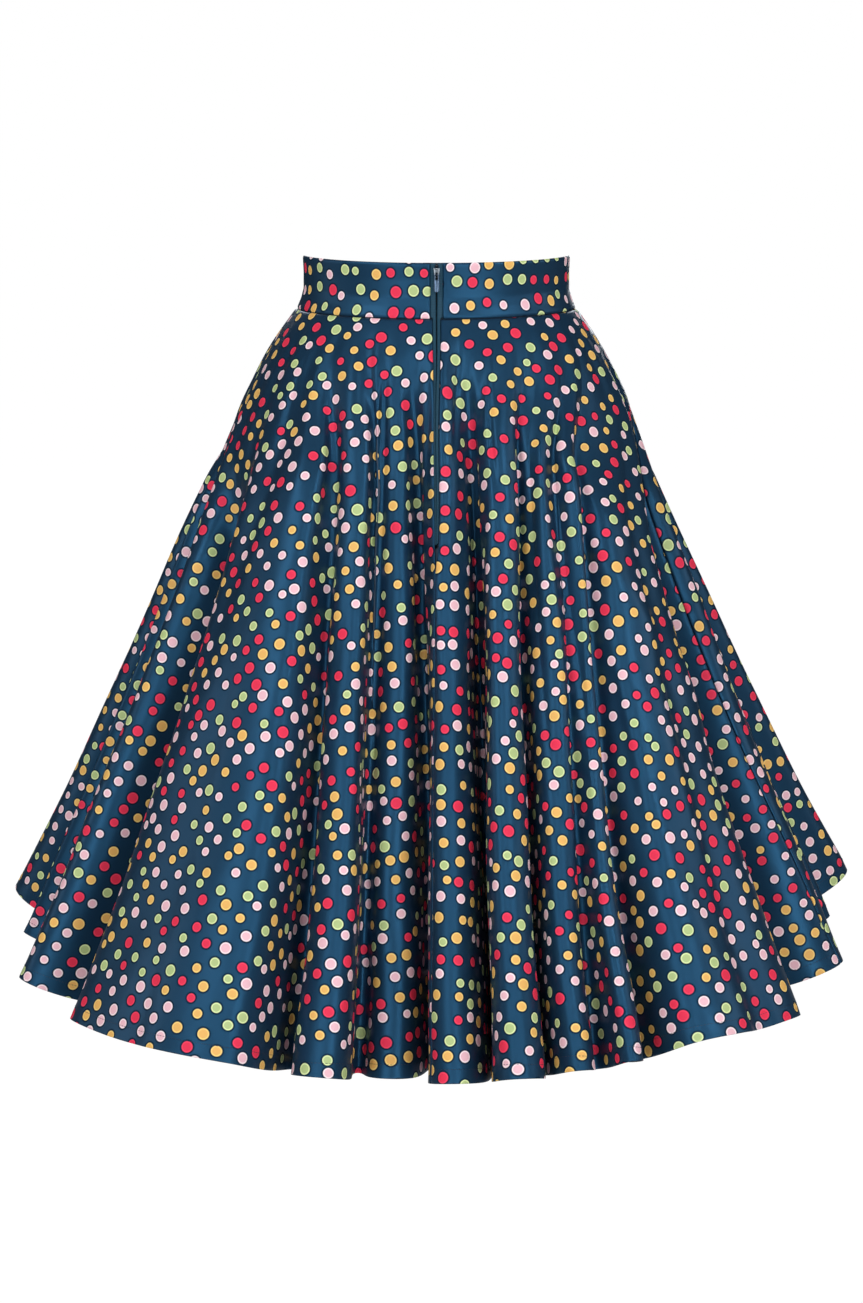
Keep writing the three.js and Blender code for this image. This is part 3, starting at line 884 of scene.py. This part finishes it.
# %% Zip tapes
TAPE_TOP = 0.0004
TAPE_NARROWING = 0.0015
TAPE_SLIT = (0.0008, 0.0004)
TAPE_WALL = 0.0005
RUNNING_GAP = 0.0003
TAPE_SECTION = np.array([
    # share from the slit to the outer edge, depth below the cloth's face
    (0.00, 0.0022),
    (0.02, 0.0012),
    (0.10, 0.0005),
    (0.24, 0.0002),
    (0.42, 0.0003),
    (0.60, 0.0005),
    (0.80, 0.0005),
    (1.00, 0.0009),
])
TAPE_ROWS_ON_BAND = 24
TAPE_ROWS_ON_SKIRT = 125
TAPE_ON_SKIRT_FROM = 0.004
RIBS_PER_METRE = 700
WARPS_PER_METRE = 1700


def zip_line():
    """Rows down the zip: the surface, its share down, and the tape's inner and outer edge."""
    narrow = (TAPE_SLIT[1], SKIRT_GAP - RUNNING_GAP)
    last_wide = (BAND_DEPTH - TAPE_NARROWING) / BAND_DEPTH
    band_rows = [
        (band_surface, down, float(np.interp(down, (0.3, 0.9), TAPE_SLIT)), BAND_GAP - RUNNING_GAP)
        for down in np.linspace(TAPE_TOP / BAND_DEPTH, last_wide, TAPE_ROWS_ON_BAND)
    ]
    downs = np.linspace(TAPE_ON_SKIRT_FROM, ZIP_END, TAPE_ROWS_ON_SKIRT)
    return band_rows + [(band_surface, 1.0, *narrow)] + [(skirt_surface, down, *narrow) for down in downs]


def zip_points(line, offsets, depths):
    """Points across each row of the zip: offsets from the middle in metres, depths below the face."""
    rows = []
    for (surface, down, _, _), across, depth in zip(line, offsets, depths):
        height = np.full(len(across), down)
        share = across / scale_at(surface, 0.0, np.array([down]))[0]
        facing = outward(surface, share, height)
        rows.append(surface(share, height) - facing * depth[:, None])
    return np.array(rows).transpose(1, 0, 2)


def woven_tape():
    finish = Finish("woven_tape")
    place = finish.flat_place()
    warp = (finish.axis(place, "X") * (WARPS_PER_METRE * math.tau)).sine()
    weft = (finish.axis(place, "Y") * (RIBS_PER_METRE * math.tau)).sine()
    ribs = (warp * 0.5 + weft * 0.5) * 0.5 + 0.5
    colour = finish.mix(ribs, srgb(12, 44, 60), srgb(26, 76, 100))
    bump = finish.bump(ribs, 0.5, 0.0002)
    return finish.shade(Base_Color=colour, Roughness=ribs * 0.12 + 0.6, Normal=bump, Specular_IOR_Level=0.3)


TAPE_FINISH = woven_tape()


def tape(side, name):
    line = zip_line()
    steps = TAPE_SECTION if side > 0 else TAPE_SECTION[::-1]
    offsets = [side * (slit + (edge - slit) * steps[:, 0]) for _, _, slit, edge in line]
    points = zip_points(line, offsets, [steps[:, 1]] * len(line))
    run = lengths(points[len(steps) // 2])
    cut = np.stack(np.broadcast_arrays(np.array(offsets).T, -run[None]), axis=-1)
    piece, _ = lay_grid(f"tape_{name}", points, cut)
    piece.data.materials.append(TAPE_FINISH)
    apply(piece, "SOLIDIFY", thickness=TAPE_WALL, offset=-1)
    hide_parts(f"zip_tape_{name}")
    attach(piece, "skirt")
    print(f"tape {name}: {run[-1]:.3f} m long")


tape(1, "right")
tape(-1, "left")

# %% [markdown]
# Behind the slit runs the coil that closes the zip. Its turns are all alike, so one is modelled as a small
# flattened ring, and an array of its points is placed a pitch apart down the line of the zip. All the turns
# are one mesh. Its colour is near black, darker than the tapes, which paints the shade of the slit.

# %% Zip coil
COIL_DEPTH = 0.0032
COIL_PITCH = 0.0013
COIL_RING = (0.0010, 0.00026)
COIL_FLAT = 0.62
COIL_LEAN = 0.25


def thread_finish(name, dark, light, twists_per_metre):
    """Twisted thread or monofilament: fine slanting ribs in two close shades."""
    finish = Finish(name)
    place = finish.node("ShaderNodeTexCoord", output="Object")
    slant = finish.axis(place, "X") + finish.axis(place, "Z")
    twist = (slant * (twists_per_metre * math.tau)).sine() * 0.5 + 0.5
    colour = finish.mix(twist, dark, light)
    bump = finish.bump(twist, 0.3, 0.0001)
    return finish.shade(Base_Color=colour, Roughness=twist * 0.1 + 0.5, Normal=bump)


# The coil's near-black colour is painted shade, so that the slit between the tapes reads dark.
COIL_PAINTED_SHADE_FINISH = thread_finish("coil_nylon_painted_shade", srgb(5, 12, 17), srgb(10, 22, 29), 1500)
THREAD_FINISH = thread_finish("sewing_thread", srgb(20, 30, 48), srgb(36, 50, 72), 2500)


def points_and_faces(piece):
    """A piece's points and faces as arrays. The piece itself is removed."""
    points = np.array([tuple(vertex.co) for vertex in piece.data.vertices])
    faces = np.array([tuple(face.vertices) for face in piece.data.polygons])
    bpy.data.objects.remove(piece)
    return points, faces


def ring_of_coil():
    """Points and faces of one turn, about the origin, with its axis along Z."""
    bpy.ops.object.select_all(action="DESELECT")
    bpy.ops.mesh.primitive_torus_add(
        major_radius=COIL_RING[0], minor_radius=COIL_RING[1], major_segments=14, minor_segments=6,
    )
    points, faces = points_and_faces(bpy.context.object)
    points[:, 1] *= COIL_FLAT
    points[:, 2] += COIL_LEAN * points[:, 0]
    return points, faces


def repeated(name, points, faces, places, axes, finish):
    """One mesh of many copies: each has a place and three axes, given as the rows of a matrix."""
    copies = places[:, None] + np.einsum("pk,nkj->npj", points, axes)
    shifted = faces[None] + (np.arange(len(places)) * len(points))[:, None, None]
    mesh = bpy.data.meshes.new(name)
    mesh.from_pydata(copies.reshape(-1, 3).tolist(), [], shifted.reshape(-1, faces.shape[1]).tolist())
    piece = bpy.data.objects.new(name, mesh)
    bpy.context.scene.collection.objects.link(piece)
    bpy.ops.object.select_all(action="DESELECT")
    piece.select_set(True)
    bpy.context.view_layer.objects.active = piece
    bpy.ops.object.shade_smooth()
    mesh.materials.append(finish)
    return piece


def along(line, pitch, *others):
    """Places a pitch apart along a polyline, its direction at each, and other directions there."""
    run = lengths(line)
    stops = np.arange(pitch / 2, run[-1], pitch)

    def read(values):
        return np.stack([np.interp(stops, run, values[:, k]) for k in range(3)], axis=1)

    return [read(line)] + [unit(read(ways)) for ways in (np.gradient(line, axis=0), *others)]


zip_rows = zip_line()
zip_count = len(zip_rows)
middle = zip_points(zip_rows, [np.zeros(1)] * zip_count, [np.full(1, COIL_DEPTH)] * zip_count)[0]
turn_places, turn_ways = along(middle, COIL_PITCH)
sideways = np.broadcast_to([1.0, 0.0, 0.0], turn_ways.shape)
turn_axes = np.stack([sideways, unit(np.cross(turn_ways, sideways)), turn_ways], axis=1)
coil = repeated("zip_coil", *ring_of_coil(), turn_places, turn_axes, COIL_PAINTED_SHADE_FINISH)
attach(coil, "skirt")
print(f"coil: {len(turn_places)} turns, {triangles(coil)} triangles")

# %% [markdown]
# Inside, each seam has its allowances, which are strips of the same cloth pressed open behind it. A stay
# runs round behind the waist seam, and a guard lies behind the zip. They are hidden from the camera, but
# they keep light from falling through the seams and give the inside its own finish.

# %% Seam allowances, waist stay and zip guard
ALLOWANCE_WIDE = 0.018
ALLOWANCE_DEPTH = 0.0022
ALLOWANCE_ROWS = 110
ALLOWANCE_TOP = 0.003
ALLOWANCE_OFF_HEM = 0.001
STRIP_COLUMNS = 9
STAY_DEPTH = 0.0034
STAY_FROM_ZIP = 0.009
STAY_COLUMNS = 420
STAY_ON_BAND = 0.16
STAY_ON_SKIRT = 0.012
GUARD_WIDE = 0.024
GUARD_DEPTH = 0.0046
GUARD_END = 0.34
LINING_WALL = 0.0004


def lining(name, points, flat):
    """A thin unprinted strip through points that already lie behind the cloth."""
    across = np.linspace(0, flat[0], points.shape[0])
    along_it = np.linspace(0, -flat[1], points.shape[1])
    cut = np.stack(np.meshgrid(across, along_it, indexing="ij"), axis=-1)
    piece, _ = lay_grid(name, points, cut)
    piece.data.materials.append(INSIDE)
    apply(piece, "SOLIDIFY", thickness=LINING_WALL, offset=-1)
    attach(piece, "skirt")
    print(f"{name}: {flat[0] * 1000:.0f} by {flat[1] * 1000:.0f} mm, {triangles(piece)} triangles")


def strip_offsets(wide):
    """Places across a strip, from its middle."""
    return np.linspace(-wide / 2, wide / 2, STRIP_COLUMNS)


def strip_length(points):
    """How long a strip is along its middle column."""
    return float(lengths(points[STRIP_COLUMNS // 2])[-1])


def seam_allowance(name, share, top):
    down = np.linspace(top, 1 - (HEM_TURN + ALLOWANCE_OFF_HEM) / SLANT, ALLOWANCE_ROWS)
    shares = share + strip_offsets(ALLOWANCE_WIDE)[:, None] / scale_at(skirt_surface, share, down)[None]
    points = skirt_surface(shares, np.broadcast_to(down, shares.shape))
    points = points - facing_of(points) * ALLOWANCE_DEPTH
    lining(name, points, (ALLOWANCE_WIDE, strip_length(points)))


def waist_stay():
    gap = STAY_FROM_ZIP / SEAM_ROUND
    share = np.linspace(gap, 1 - gap, STAY_COLUMNS)
    on_band = band_surface(*np.meshgrid(share, np.linspace(1 - STAY_ON_BAND, 1, 5), indexing="ij"))
    on_skirt = skirt_surface(*np.meshgrid(share, np.array([0.002, 0.007, STAY_ON_SKIRT]), indexing="ij"))
    points = np.concatenate([on_band, on_skirt], axis=1)
    points = points - facing_of(points) * STAY_DEPTH
    flat = (SEAM_ROUND - 2 * STAY_FROM_ZIP, STAY_ON_BAND * BAND_DEPTH + STAY_ON_SKIRT * SLANT)
    lining("waist_stay", points, flat)


def zip_guard():
    below = [(skirt_surface, down, 0, 0) for down in np.linspace(ZIP_END, GUARD_END, 6)[1:]]
    line = zip_line() + below
    depths = np.full(STRIP_COLUMNS, GUARD_DEPTH)
    points = zip_points(line, [strip_offsets(GUARD_WIDE)] * len(line), [depths] * len(line))
    lining("zip_guard", points, (GUARD_WIDE, strip_length(points)))


seam_allowance("allowance_back", 0.0, ZIP_END + 0.004)
seam_allowance("allowance_right", 0.25, ALLOWANCE_TOP)
seam_allowance("allowance_left", 0.75, ALLOWANCE_TOP)
waist_stay()
zip_guard()

# %% [markdown]
# The slider is a small casting: a body that narrows downwards, hollowed in front, with an arched bridge for
# the tab. The body is a box, tapered and inset in edit mode. The bridge is a ring of edges that is drawn
# out, spun half round and drawn back, which is how such a loop is bent. Though both are one casting, the
# body is given a pale metal, which paints a highlight, and the bridge a dark one, which paints shade.

# %% Working in edit mode
ZIP_FRONT = 0.0934
SLIDER_MIDDLE = 0.0060


def box(name, place, size):
    """A box at its place, with its origin at the world's."""
    bpy.ops.object.select_all(action="DESELECT")
    bpy.ops.mesh.primitive_cube_add(size=1, location=place, scale=size)
    bpy.ops.object.transform_apply(location=True, rotation=True, scale=True)
    piece = bpy.context.object
    piece.name = name
    return piece


def pick(piece, kind, test):
    """Selects the faces or edges that pass a test, and leaves the piece in edit mode."""
    bpy.context.view_layer.objects.active = piece
    bpy.ops.object.mode_set(mode="EDIT")
    bpy.ops.mesh.select_mode(type=kind)
    bpy.ops.mesh.select_all(action="DESELECT")
    bpy.ops.object.mode_set(mode="OBJECT")
    if kind == "FACE":
        for face in piece.data.polygons:
            face.select = test(face.center, face.normal)
    else:
        for edge in piece.data.edges:
            edge.select = test(*(piece.data.vertices[k].co for k in edge.vertices))
    bpy.ops.object.mode_set(mode="EDIT")


def cast_metal(name, dark, light):
    """Fine-grained zinc, in two close shades."""
    finish = Finish(name)
    place = finish.node("ShaderNodeTexCoord", output="Object")
    cast = finish.node("ShaderNodeTexNoise", None, {"Vector": place, "Scale": 1400.0, "Detail": 3.0})
    colour = finish.mix(cast, dark, light)
    bump = finish.bump(cast, 0.2, 0.0001)
    return finish.shade(Base_Color=colour, Roughness=cast * 0.2 + 0.22, Normal=bump, Metallic=0.9)


# Pale metal for the slider's body: a painted highlight, lighter than the same casting's bridge.
PALE_METAL_PAINTED_HIGHLIGHT = cast_metal("pale_metal_painted_highlight", srgb(112, 124, 136), srgb(184, 194, 202))
# Dark metal: the top stops' own colour, and painted shade on the slider's bridge.
DARK_METAL_AND_PAINTED_SHADE = cast_metal("dark_metal_and_painted_shade", srgb(20, 25, 33), srgb(46, 53, 64))
BLUE_METAL = cast_metal("blue_metal", srgb(58, 76, 98), srgb(98, 118, 142))


def finish_metal(piece, width, body, finish):
    """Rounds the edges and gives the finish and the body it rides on."""
    bpy.ops.object.mode_set(mode="OBJECT")
    apply(piece, "BEVEL", width=width, segments=3, limit_method="ANGLE", angle_limit=math.radians(32))
    bpy.ops.object.select_all(action="DESELECT")
    piece.select_set(True)
    bpy.ops.object.shade_smooth_by_angle(angle=math.radians(40))
    piece.data.materials.clear()
    piece.data.materials.append(finish)
    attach(piece, body)


# %% Slider
SLIDER_SIZE = (0.0054, 0.0022, 0.0086)
BRIDGE_MIDDLE = SLIDER_MIDDLE - 0.0016
BRIDGE_RISE = 0.00195
BRIDGE_STRAIGHT = 0.0008
BRIDGE_BAR = 0.00045
BRIDGE_WIDE = 1.7
BRIDGE_ROOT = 0.0006


def slider_body():
    front = ZIP_FRONT + SLIDER_SIZE[1]
    body = box("slider", (0, -ZIP_FRONT - SLIDER_SIZE[1] / 2, SLIDER_MIDDLE), SLIDER_SIZE)
    pick(body, "FACE", lambda place, normal: normal.z < -0.5)
    bpy.ops.transform.resize(value=(0.66, 0.9, 1))
    pick(body, "FACE", lambda place, normal: normal.y < -0.5)
    bpy.ops.mesh.inset(thickness=0.0011)
    bpy.ops.mesh.inset(thickness=0.0002, depth=-0.0006)
    bpy.ops.object.mode_set(mode="OBJECT")
    return body, front


def slider_bridge(front):
    top = BRIDGE_MIDDLE + BRIDGE_RISE
    bpy.ops.object.select_all(action="DESELECT")
    start = (0, -front + BRIDGE_ROOT, top)
    turn = (math.pi / 2, 0, 0)
    bpy.ops.mesh.primitive_circle_add(vertices=12, radius=BRIDGE_BAR, location=start, rotation=turn)
    bpy.ops.object.transform_apply(location=True, rotation=True, scale=True)
    bridge = bpy.context.object
    bpy.ops.object.mode_set(mode="EDIT")
    bpy.ops.mesh.select_all(action="SELECT")
    bpy.ops.transform.resize(value=(BRIDGE_WIDE, 1, 1))
    out = BRIDGE_ROOT + BRIDGE_STRAIGHT
    bpy.ops.mesh.extrude_region_move(TRANSFORM_OT_translate={"value": (0, -out, 0)})
    centre = (0, -front - BRIDGE_STRAIGHT, BRIDGE_MIDDLE)
    bpy.ops.mesh.spin(steps=14, angle=-math.pi, center=centre, axis=(1, 0, 0))
    bpy.ops.mesh.extrude_region_move(TRANSFORM_OT_translate={"value": (0, out, 0)})
    bpy.ops.mesh.select_all(action="SELECT")
    bpy.ops.mesh.remove_doubles(threshold=1e-6)
    bpy.ops.mesh.fill_holes(sides=0)
    bpy.ops.mesh.normals_make_consistent(inside=False)
    bpy.ops.object.mode_set(mode="OBJECT")
    return bridge


slider, slider_front = slider_body()
bridge = slider_bridge(slider_front)
reach = min(vertex.co.y for vertex in bridge.data.vertices)
# The body takes the pale metal as a painted highlight. The bridge, cast in one with it, takes the dark
# metal as painted shade.
finish_metal(slider, 0.00028, "skirt", PALE_METAL_PAINTED_HIGHLIGHT)
bridge.data.materials.append(DARK_METAL_AND_PAINTED_SHADE)
bridge.select_set(True)
bpy.context.view_layer.objects.active = slider
bpy.ops.object.join()
bpy.ops.object.shade_smooth_by_angle(angle=math.radians(40))
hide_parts("zip_slider")
print(f"slider: {triangles(slider)} triangles, the bridge stands out to {-reach * 1000:.1f} mm")

# %% [markdown]
# The pull tab is a flat drop that hangs from the bridge by its window. It starts as a box too. Its lower
# corners are bevelled so far that they meet in a round end. Four bisecting planes mark the window, whose
# front and back faces are deleted and bridged, and the panel below it is inset.

# %% Pull tab
PIVOT = (0.0, -0.0966, 0.0044)
TAB_LENGTH = 0.0154
TAB_TOP_WIDTH = 0.0040
TAB_WIDTH = 0.0050
TAB_THICKNESS = 0.0010
WINDOW_WIDTH = 0.0024
WINDOW_LENGTH = 0.0036


def pull_tab():
    top = PIVOT[2] + TAB_THICKNESS / 2
    bottom = top - TAB_LENGTH
    window_top = PIVOT[2] - TAB_THICKNESS / 2
    window_bottom = window_top - WINDOW_LENGTH
    tab = box("pull_tab", (0, PIVOT[1], (top + bottom) / 2), (TAB_WIDTH, TAB_THICKNESS, TAB_LENGTH))
    pick(tab, "FACE", lambda place, normal: normal.z > 0.5)
    bpy.ops.transform.resize(value=(TAB_TOP_WIDTH / TAB_WIDTH, 1, 1))
    pick(tab, "EDGE", lambda a, b: max(a.z, b.z) < bottom + 1e-5 and abs(a.x - b.x) < 1e-6)
    bpy.ops.mesh.bevel(offset=TAB_WIDTH * 0.49, segments=9, affect="EDGES")
    for plane, normal in (
        ((0, 0, window_top), (0, 0, 1)), ((0, 0, window_bottom), (0, 0, 1)),
        ((WINDOW_WIDTH / 2, 0, 0), (1, 0, 0)), ((-WINDOW_WIDTH / 2, 0, 0), (1, 0, 0)),
    ):
        bpy.ops.mesh.select_all(action="SELECT")
        bpy.ops.mesh.bisect(plane_co=plane, plane_no=normal)

    def in_window(place, normal):
        between_sides = abs(normal.y) > 0.5 and abs(place.x) < WINDOW_WIDTH / 2
        return between_sides and window_bottom < place.z < window_top

    def below_window(place, normal):
        return normal.y < -0.5 and abs(place.x) < 1e-4 and place.z < window_bottom

    pick(tab, "FACE", in_window)
    bpy.ops.mesh.delete(type="FACE")
    pick(tab, "EDGE", lambda a, b: False)
    bpy.ops.mesh.select_non_manifold()
    bpy.ops.mesh.bridge_edge_loops()
    pick(tab, "FACE", below_window)
    bpy.ops.mesh.inset(thickness=0.0004, depth=-0.0002)
    bpy.ops.mesh.select_all(action="SELECT")
    bpy.ops.mesh.normals_make_consistent(inside=False)
    return tab


tab = pull_tab()
finish_metal(tab, 0.00016, "pull_tab", BLUE_METAL)
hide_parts("zip_pull")
print(f"pull tab: {TAB_LENGTH * 1000:.1f} mm long, {triangles(tab)} triangles")

# %% [markdown]
# A small metal stop is clamped on each tape above the slider, so that it can't run off. One is modelled and
# copied, each copy with its own mesh.

# %% Top stops
STOP_SIZE = (0.0013, 0.0015, 0.0021)
STOP_PLACE = (0.00085, -0.0938, 0.0119)


def top_stop(side):
    place = (side * STOP_PLACE[0], STOP_PLACE[1], STOP_PLACE[2])
    stop = box("top_stop_right" if side > 0 else "top_stop_left", place, STOP_SIZE)
    pick(stop, "FACE", lambda place, normal: normal.y < -0.5)
    bpy.ops.mesh.inset(thickness=0.0003, depth=0.0002)
    finish_metal(stop, 0.0003, "skirt", DARK_METAL_AND_PAINTED_SHADE)
    return stop


stops = [top_stop(1), top_stop(-1)]
print(f"{len(stops)} top stops, {triangles(stops[0])} triangles each")

# %% [markdown]
# The hem is turned up and sewn by machine in a thread of the ground's colour, so its stitches show only
# where they cross a dot. One stitch is a small stretched ball, and its points are laid in a row round each
# panel, a little above the turned edge. The thread pulls the cloth, so a stitch lies in it, not on it.

# %% Hem stitches
STITCH_UP = 0.0120
STITCH_PITCH = 0.0031
STITCH_LENGTH = 0.0024
STITCH_WIDE = 0.00042
STITCH_PROUD = 0.00005


def one_stitch():
    bpy.ops.object.select_all(action="DESELECT")
    bpy.ops.mesh.primitive_ico_sphere_add(subdivisions=2, radius=0.5)
    points, faces = points_and_faces(bpy.context.object)
    return points * [STITCH_LENGTH, STITCH_WIDE, STITCH_WIDE], faces


def hem_stitches(name, start, end):
    share = np.linspace(start, end, 4000)[20:-20]
    down = np.full_like(share, 1 - STITCH_UP / SLANT)
    facing = outward(skirt_surface, share, down)
    line = skirt_surface(share, down) + facing * STITCH_PROUD
    places, ways, faces_out = along(line, STITCH_PITCH, facing)
    axes = np.stack([ways, np.cross(faces_out, ways), faces_out], axis=1)
    row = repeated(f"stitches_{name}", *one_stitch(), places, axes, THREAD_FINISH)
    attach(row, "skirt")
    print(f"stitches {name}: {len(places)}, {triangles(row)} triangles")


for name, start, end, _ in PANELS:
    hem_stitches(name, start, end)
